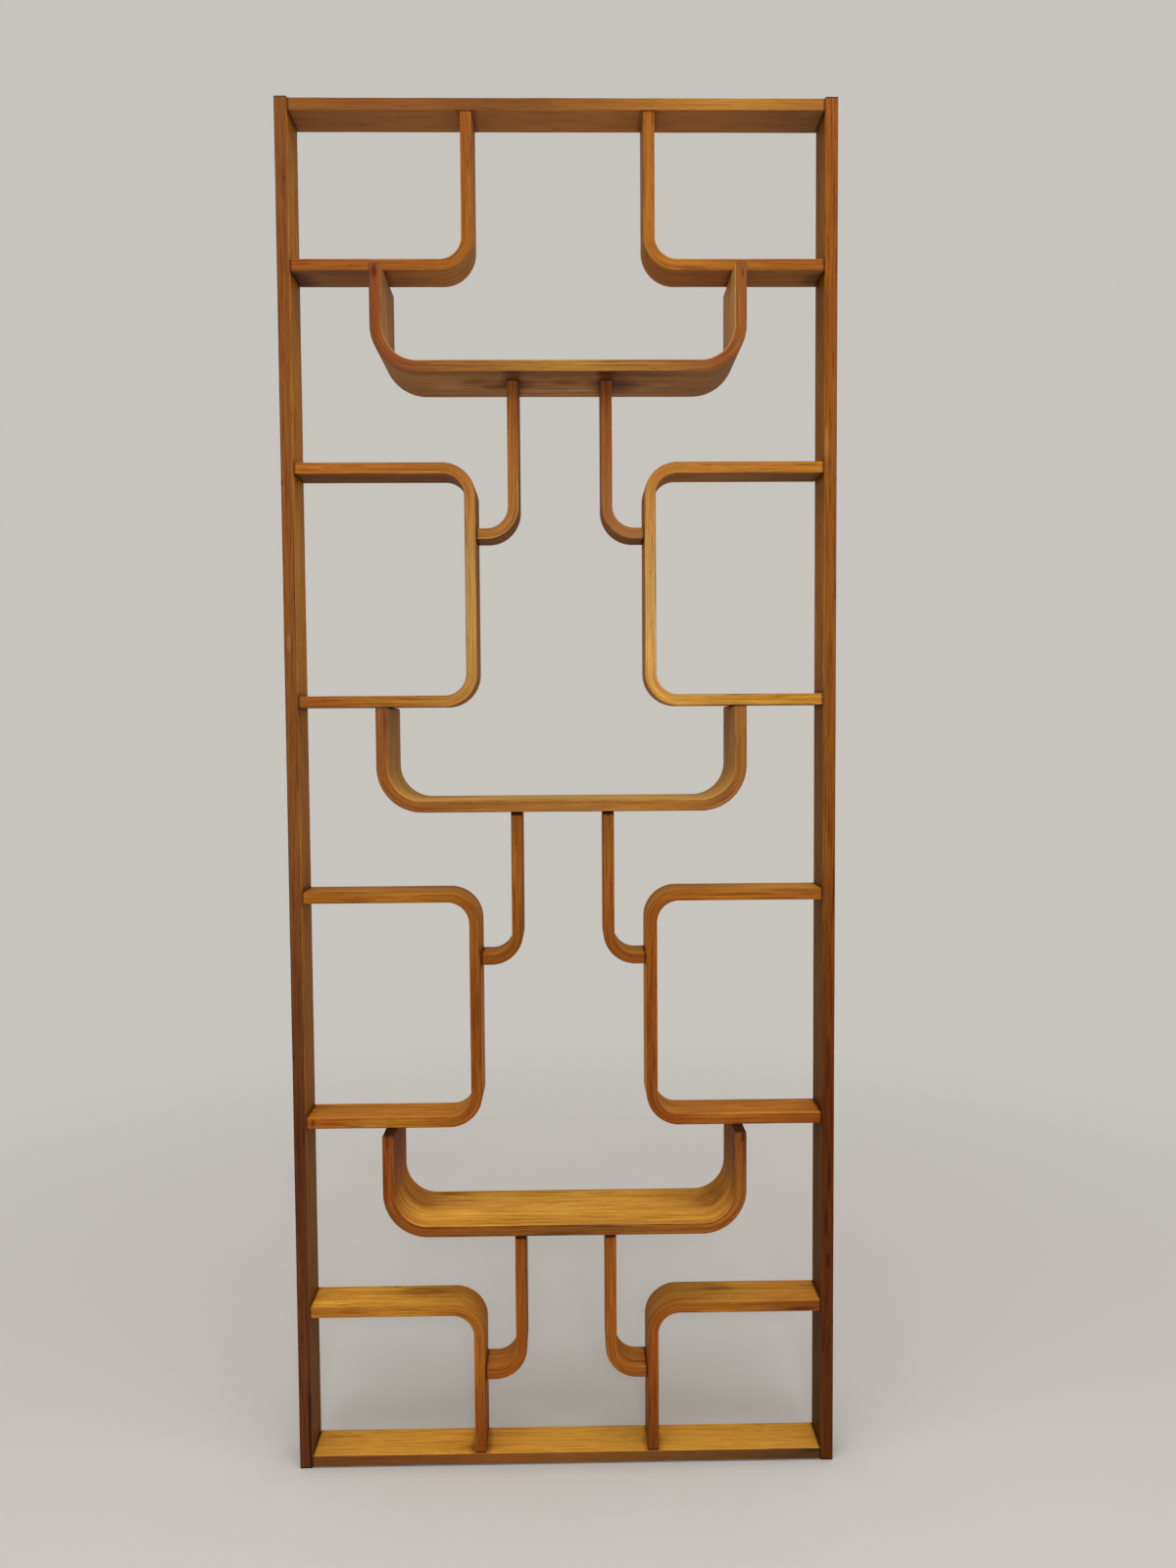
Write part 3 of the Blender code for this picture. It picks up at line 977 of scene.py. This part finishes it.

# Each wooden node: its kind and the pale dust and painted sheen on its edges, its inner side and its outer
# side, and then for each of these the tone and the gold at even steps along it. The inner side is the one
# inside the bends, or for a straight strip the one towards the middle of the divider.
pieces = {
    # The stiles' edges are darker low down: partly dirt, partly painted shade
    "left_stile": (
        "stile", (0.02, 0.02, 0.01),
        ((0.5, -0.1), (0.37, -0.2), (0.68, 0.2), (0.8, 0.2), (0.65, 0.1)),
        ((0.5, 0.5), (0.85, 0.7), (1.35, 0.7), (1.2, 0.6)),
        ((0.5, 0.3), (0.6, 0.3), (0.8, 0.3), (0.8, 0.3)),
    ),
    "right_stile": (
        "stile", (0, 0, 0.01),
        ((0.34, -0.1), (0.36, -0.2), (0.65, 0.2), (0.75, 0.2), (0.85, 0.2)),
        ((0.3, 0.6), (0.48, 0.6), (0.95, 0.6), (0.75, 0.5)),
        ((0.5, 0.2), (0.6, 0.2), (0.7, 0.3), (0.8, 0.3)),
    ),
    "top_rail": (
        "rail", (0.01, 0.07, 0.01),
        ((0.65, 0.3), (0.6, 0.2), (0.5, 0.2), (0.75, 0.4), (1.05, 0.8), (0.95, 0.5)),
        ((0.9, 0.5), (1.1, 0.5), (1.2, 0.4), (0.8, 0.4)),
        ((0.85, 0.4),),
    ),
    "bottom_rail": (
        "rail", (0.03, 0.01, 0.01),
        ((0.6, 0.2), (0.7, 0.2), (0.9, 0.3), (0.7, 0.4), (0.5, 0.4), (0.25, 0.4)),
        ((1.65, 1.1), (1.85, 1.1), (1.65, 1.2), (1.7, 1.1)),
        ((0.9, 0.5),),
    ),
    "top_bracket_left": (
        "top_bracket", (0, 0.01, 0.09),
        ((0.95, 0.2), (1.05, 0.3), (0.95, 0.1)),
        ((1.1, 0.4),),
        ((1, 0.6), (1.15, 0.6), (0.8, 0.5)),
    ),
    "top_bracket_right": (
        "top_bracket", (0, 0.01, 0.05),
        ((0.95, 0.4), (1.2, 0.5), (1, 0.2)),
        ((1.1, 0.4),),
        ((1.05, 0.6), (1.05, 0.6), (0.95, 0.5)),
    ),
    # The upper loops' columns are more golden on their edges, partly as a painted sheen
    "upper_loop_left": (
        "loop", (0.01, 0.02, 0.01),
        ((1.3, 0.3), (1.2, 0.3), (1.05, 0.4), (0.85, 1), (1, 0.9), (1.15, 0.5), (1, 0.1)),
        ((0.6, 0.4), (0.75, 0.4), (0.65, 0.4), (0.65, 0.4), (0.65, 0.4)),
        ((1, 0.5),),
    ),
    "upper_loop_right": (
        "loop", (0, 0.03, 0.01),
        ((1.4, 0.6), (1.5, 0.6), (1.2, 0.6), (1.1, 1.1), (1.35, 1.2), (1.6, 1.1), (1.45, 0.9)),
        ((0.65, 0.5), (0.95, 0.6), (0.8, 0.5), (0.8, 0.5), (0.8, 0.5)),
        ((1.1, 0.6),),
    ),
    "lower_loop_left": (
        "loop", (0, 0, 0),
        ((1.05, 0.3), (1.2, 0.7), (1, 0.3), (0.83, 0), (0.93, 0.1), (1.35, 0.6), (1.3, 0.1)),
        ((1.25, 0.5), (1.25, 0.5), (1.25, 0.5), (1.4, 0.6), (1.35, 0.5)),
        ((1.3, 0.6), (1.5, 0.7), (1.4, 0.7), (1.4, 0.7), (1.4, 0.7)),
    ),
    "lower_loop_right": (
        "loop", (0, 0.01, 0),
        ((1.05, 0.3), (1.3, 0.4), (1.1, 0.1), (0.9, 0), (0.95, -0.1), (1.25, 0.2), (0.9, 0)),
        ((1.35, 0.6), (1.35, 0.6), (1.35, 0.6), (1.3, 0.6), (1.45, 0.5)),
        ((1.5, 0.8), (1.6, 0.9), (1.5, 0.9), (1.5, 0.9), (1.5, 0.9)),
    ),
    "bottom_bracket_left": (
        "bottom_bracket", (0, 0.01, 0),
        ((1.25, 0.6), (1.5, 0.8), (1.25, 0.3), (0.95, -0.1)),
        ((1.2, 0.5),),
        ((1.95, 1.1), (2, 1.3), (1.35, 0.6), (0.8, 0.2)),
    ),
    "bottom_bracket_right": (
        "bottom_bracket", (0, 0.01, 0.01),
        ((0.8, 0.1), (1.35, 0.4), (1.1, 0), (0.75, -0.1)),
        ((1.2, 0.5),),
        ((1.55, 0.8), (1.55, 1.1), (1.15, 0.5), (0.7, 0.2)),
    ),
    "upper_tray": (
        "tray", (0.03, 0.15, 0.11),
        ((0.8, -0.1), (0.8, -0.1), (0.8, 0.5), (0.95, 1), (0.95, 0.7), (0.95, 0.1), (0.85, 0.2)),
        ((1, 0.8), (1.45, 1), (1.2, 1), (1.25, 1), (1.35, 1.3)),
        ((1, 0.6), (1.15, 0.7), (1.2, 0.6), (1, 0.6), (1, 0.7)),
    ),
    "middle_tray": (
        "tray", (0.02, 0.05, 0.01),
        ((0.85, 0.1), (1, 0.2), (1.1, 0.5), (1.05, 0.7), (1.2, 0.7), (1, 0.4), (1, 0.4)),
        ((0.95, 0.8), (1.35, 1.2), (1.15, 1.3), (1.45, 1.4), (0.9, 0.9)),
        ((1, 0.7),),
    ),
    "lower_tray": (
        "tray", (0.01, 0.01, 0.01),
        ((0.9, -0.1), (1, 0.1), (0.9, 0.3), (0.65, 0.4), (0.85, 0.4), (1.05, 0.3), (0.85, 0)),
        ((0.6, 0.0), (1.75, 1.1), (1.6, 1.3), (1.65, 1.1), (0.6, 0.1)),
        ((1, 0.7),),
    ),
    "upper_hook_left": (
        "hook", (0.01, 0.01, 0),
        ((1, 0.3), (1, 0.6)),
        ((0.85, 0.3),),
        ((0.65, 0.5), (0.65, 0.5)),
    ),
    "upper_hook_right": (
        "hook", (0.01, 0.01, 0),
        ((0.85, 0), (0.9, 0.4)),
        ((0.85, 0.3),),
        ((0.75, 0.5), (0.7, 0.5)),
    ),
    "middle_hook_left": (
        "hook", (0, 0, 0.01),
        ((1.25, 0.3), (0.75, 0.1)),
        ((1.25, 0.7),),
        ((0.9, 0.4),),
    ),
    "middle_hook_right": (
        "hook", (0, 0, 0.01),
        ((1.1, 0.3), (0.85, 0.1)),
        ((1.3, 0.9),),
        ((0.9, 0.4),),
    ),
    "lower_hook_left": (
        "hook", (0, 0, 0.01),
        ((1.1, 0.1), (1.15, 0.1)),
        ((1.55, 0.5),),
        ((1, 0.4),),
    ),
    "lower_hook_right": (
        "hook", (0, 0.01, 0.01),
        ((1.25, 0.1), (1.1, 0.2)),
        ((1.4, 0.5),),
        ((1, 0.4),),
    ),
}

# Local marks: the side they are on, their place along it and across it, half their length and width,
# and how much darker they are. Those below zero are paler. The painted shade, light and sheen among them are
# named at their pieces.
marks = {
    "left_stile": (
        ("edge", 1.586, -0.0085, 0.007, 0.003, 0.65),
        ("edge", 1.338, -0.002, 0.020, 0.004, -0.35),
        ("edge", 0.678, -0.0085, 0.008, 0.0035, 0.60),
        ("edge", 0.218, -0.003, 0.008, 0.003, 0.50),
        ("edge", 0.060, 0.0085, 0.130, 0.0042, 0.85),
        ("edge", 0.170, 0.0090, 0.110, 0.0030, 0.65),
        ("edge", 2.050, 0.004, 0.010, 0.004, 0.30),
        ("edge", 1.450, 0.0090, 0.200, 0.0028, 0.35),
        ("edge", 0.542, -0.003, 0.050, 0.005, 0.30),
    ),
    "right_stile": (
        # A pale painted highlight high on the front
        ("edge", 1.645, 0.006, 0.035, 0.004, -0.50),
        ("edge", 1.590, -0.0090, 0.005, 0.003, 0.60),
        ("edge", 0.684, 0.001, 0.035, 0.003, 0.45),
        ("edge", 0.638, 0.000, 0.030, 0.004, 0.35),
        ("edge", 0.334, -0.001, 0.014, 0.005, 0.55),
        ("edge", 0.400, 0.002, 0.030, 0.003, 0.45),
        ("edge", 0.470, -0.002, 0.040, 0.005, 0.30),
        ("edge", 0.232, -0.0088, 0.010, 0.003, 0.60),
        ("edge", 0.204, -0.004, 0.012, 0.004, 0.40),
    ),
    "upper_tray": (
        # Dirt and painted shade round the two hooks on the underside
        ("outer", 0.338, -0.010, 0.036, 0.080, 0.34),
        ("outer", 0.493, 0.000, 0.048, 0.090, 0.50),
        # Painted shade along the front of the underside and painted light along its back
        ("outer", 0.408, -0.066, 0.320, 0.046, 0.36),
        ("outer", 0.408, 0.050, 0.240, 0.060, -0.20),
        ("outer", 0.232, 0.000, 0.035, 0.030, -0.25),
        ("outer", 0.275, -0.020, 0.030, 0.020, 0.30),
        ("outer", 0.418, -0.012, 0.030, 0.018, 0.35),
        ("outer", 0.440, 0.030, 0.040, 0.015, -0.30),
        ("outer", 0.560, 0.010, 0.040, 0.020, -0.22),
        ("edge", 0.014, -0.001, 0.014, 0.007, 0.50),
        ("edge", 0.798, -0.003, 0.012, 0.0022, 0.55),
        ("outer", 0.305, 0.012, 0.030, 0.020, 0.35),
        ("outer", 0.367, 0.030, 0.050, 0.012, -0.30),
        ("outer", 0.520, 0.004, 0.060, 0.010, 0.35),
        ("outer", 0.590, 0.020, 0.050, 0.006, 0.30),
    ),
    "middle_tray": (
        ("inner", 0.408, -0.068, 0.300, 0.040, 0.22),
        ("inner", 0.408, 0.014, 0.300, 0.036, -0.12),
    ),
    "lower_tray": (
        ("inner", 0.408, -0.060, 0.300, 0.036, 0.18),
        ("inner", 0.408, 0.012, 0.300, 0.032, -0.12),
        ("edge", 0.806, -0.002, 0.012, 0.004, 0.60),
        ("edge", 0.010, 0.0, 0.016, 0.009, 0.35),
        ("inner", 0.165, 0.030, 0.050, 0.050, 0.26),
        ("inner", 0.655, 0.010, 0.045, 0.070, 0.32),
        ("inner", 0.250, -0.015, 0.060, 0.035, -0.14),
        ("inner", 0.417, 0.020, 0.030, 0.004, 0.30),
        ("inner", 0.455, -0.043, 0.035, 0.004, 0.35),
        ("inner", 0.220, 0.058, 0.050, 0.014, 0.40),
        ("edge", 0.325, 0.006, 0.050, 0.002, 0.40),
        ("edge", 0.375, -0.007, 0.060, 0.0025, 0.45),
    ),
    # On both upper loops the paler mark on the column's edges is a painted sheen
    "upper_loop_left": (
        ("edge", 0.465, 0.0, 0.260, 0.060, -0.34),
        ("outer", 0.160, -0.030, 0.160, 0.020, 0.20),
    ),
    "upper_loop_right": (("edge", 0.450, 0.0, 0.280, 0.060, -0.30),),
    "lower_loop_left": (("edge", 0.862, 0.001, 0.006, 0.009, 0.50),),
    "lower_loop_right": (
        ("edge", 0.140, 0.0, 0.060, 0.0018, 0.35),
        ("edge", 0.682, -0.008, 0.008, 0.003, 0.50),
    ),
    "bottom_bracket_right": (
        ("edge", 0.035, 0.005, 0.035, 0.005, 0.50),
        ("outer", 0.163, 0.010, 0.035, 0.015, 0.35),
    ),
    "bottom_bracket_left": (
        ("outer", 0.131, 0.031, 0.010, 0.004, 0.40),
        ("outer", 0.180, 0.015, 0.050, 0.020, 0.25),
    ),
    "bottom_rail": (
        ("inner", 0.272, -0.020, 0.040, 0.012, 0.30),
        ("inner", 0.319, -0.013, 0.060, 0.002, 0.35),
        ("edge", 0.815, 0.006, 0.020, 0.006, 0.45),
    ),
    # On both top brackets the first mark is painted shade on the underside where it meets the stile; on the
    # left one the next two are painted shade along the front of the underside and painted light along its
    # back
    "top_bracket_left": (
        ("outer", 0.482, 0.000, 0.036, 0.050, 0.45),
        ("outer", 0.395, -0.030, 0.080, 0.025, 0.24),
        ("outer", 0.400, 0.026, 0.080, 0.022, -0.15),
    ),
    "top_bracket_right": (
        ("outer", 0.482, 0.005, 0.036, 0.040, 0.40),
        ("outer", 0.355, 0.012, 0.016, 0.012, 0.35),
    ),
}

# Painted shadows of the trays on the upper ends of the hooks, dark on the middle and lower hooks and faint
# on the upper ones, alike on the left and the right
hook_top_shadows = {
    "upper": ("edge", 0.014, 0.0, 0.022, 0.040, 0.30),
    "middle": ("edge", 0.004, 0.0, 0.0055, 0.040, 0.95),
    "lower": ("edge", 0.018, 0.0, 0.0065, 0.040, 0.95),
}
for level, mark in hook_top_shadows.items():
    for side in ("left", "right"):
        marks[f"{level}_hook_{side}"] = (mark,)


def make_wooden_pieces():
    """Builds every visible strip around its CAD node."""
    paths = {}
    for node, (kind_name, *_) in pieces.items():
        kind = kinds[kind_name]
        corners = kind.corners(*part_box(node))
        paths[node] = (bent_path(corners, kind.bend_radius + kind.thickness / 2), inner_side_of(corners))
    for seed, (node, (kind_name, dust_and_sheen_levels, *looks)) in enumerate(pieces.items(), start=1):
        kind = kinds[kind_name]
        low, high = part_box(node)
        path, inner_side = paths[node]
        strip = Strip(kind.thickness / 2, (high.y - low.y) / 2, inner_side, seed)
        lay_rings(strip, eased_rings(path, kind.easing), looks)
        others = [other for name, (other, _) in paths.items() if name != node]
        ends = [other[end][0] for other in others for end in (0, -1)]
        contacts = contact_places(path, strip.half_thickness, ends)
        add_piece(node, strip, make_wood(node, strip, kind, dust_and_sheen_levels, contacts))


def dress_dowels():
    """Gives the hidden dowels their bare wood."""
    wood = make_dowel_wood()
    for name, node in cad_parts.items():
        if name.startswith("dowel_"):
            for slot in node.material_slots:
                slot.material = wood


bpy.context.scene.view_settings.view_transform = "Standard"
make_camera()
make_surroundings()
make_wooden_pieces()
dress_dowels()
